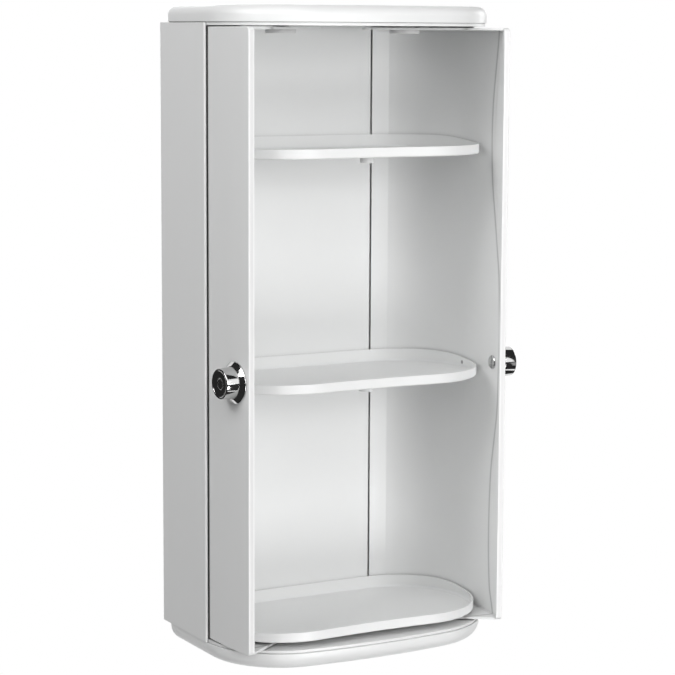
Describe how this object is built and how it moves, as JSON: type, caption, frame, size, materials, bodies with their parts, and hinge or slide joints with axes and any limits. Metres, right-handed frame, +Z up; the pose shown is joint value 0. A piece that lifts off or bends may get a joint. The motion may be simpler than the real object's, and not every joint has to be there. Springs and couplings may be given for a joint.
{
  "type": "medicine cabinet",
  "caption": "Wall-hung bathroom medicine cabinet: white moulded housing with rounded end covers, tray shelves and curved doors that swing in about upright pivots.",
  "frame": {"origin": "centre of the wall face, half way up the doors", "axes": "+X to the right along the wall, -Y out of the wall into the room, +Z up"},
  "size_m": [0.3318, 0.1851, 0.6421],
  "materials": {
    "white_shell": "white moulded plastic, soft gloss",
    "pivot_nylon": "off-white bearing plastic",
    "chrome": "polished chrome plate",
    "bright_screw": "nickel-plated screw",
    "zinc_screw": "zinc-plated screw"
  },
  "bodies": {
    "cabinet": {"back_panel": "white_shell", "left_side_panel": "white_shell", "right_side_panel": "white_shell", "side_panel_screws": "zinc_screw", "centre_spine": "white_shell", "spine_screws": "zinc_screw", "top_end_plate": "white_shell", "bottom_end_plate": "white_shell", "end_plate_screws": "zinc_screw", "top_cover": "white_shell", "bottom_cover": "white_shell", "top_shelf": "white_shell", "middle_shelf": "white_shell", "bottom_shelf": "white_shell", "left_upper_pivot": "pivot_nylon", "left_lower_pivot": "pivot_nylon", "right_upper_pivot": "pivot_nylon", "right_lower_pivot": "pivot_nylon"},
    "left_door_body": {"left_door": "white_shell", "left_pivot_disc": "pivot_nylon", "left_knob_rosette": "chrome", "left_knob": "chrome", "left_knob_screw": "bright_screw"},
    "right_door_body": {"right_door": "white_shell", "right_pivot_disc": "pivot_nylon", "right_knob_rosette": "chrome", "right_knob": "chrome", "right_knob_screw": "bright_screw"}
  },
  "joints": [
    {"name": "left_door_swing", "type": "hinge", "parent": "cabinet", "child": "left_door_body", "pos_m": [-0.07, -0.099, 0], "axis": [0, 0, 1], "range_deg": [0, 83]},
    {"name": "right_door_swing", "type": "hinge", "parent": "cabinet", "child": "right_door_body", "pos_m": [0.07, -0.099, 0], "axis": [0, 0, -1], "range_deg": [0, 83]}
  ]
}
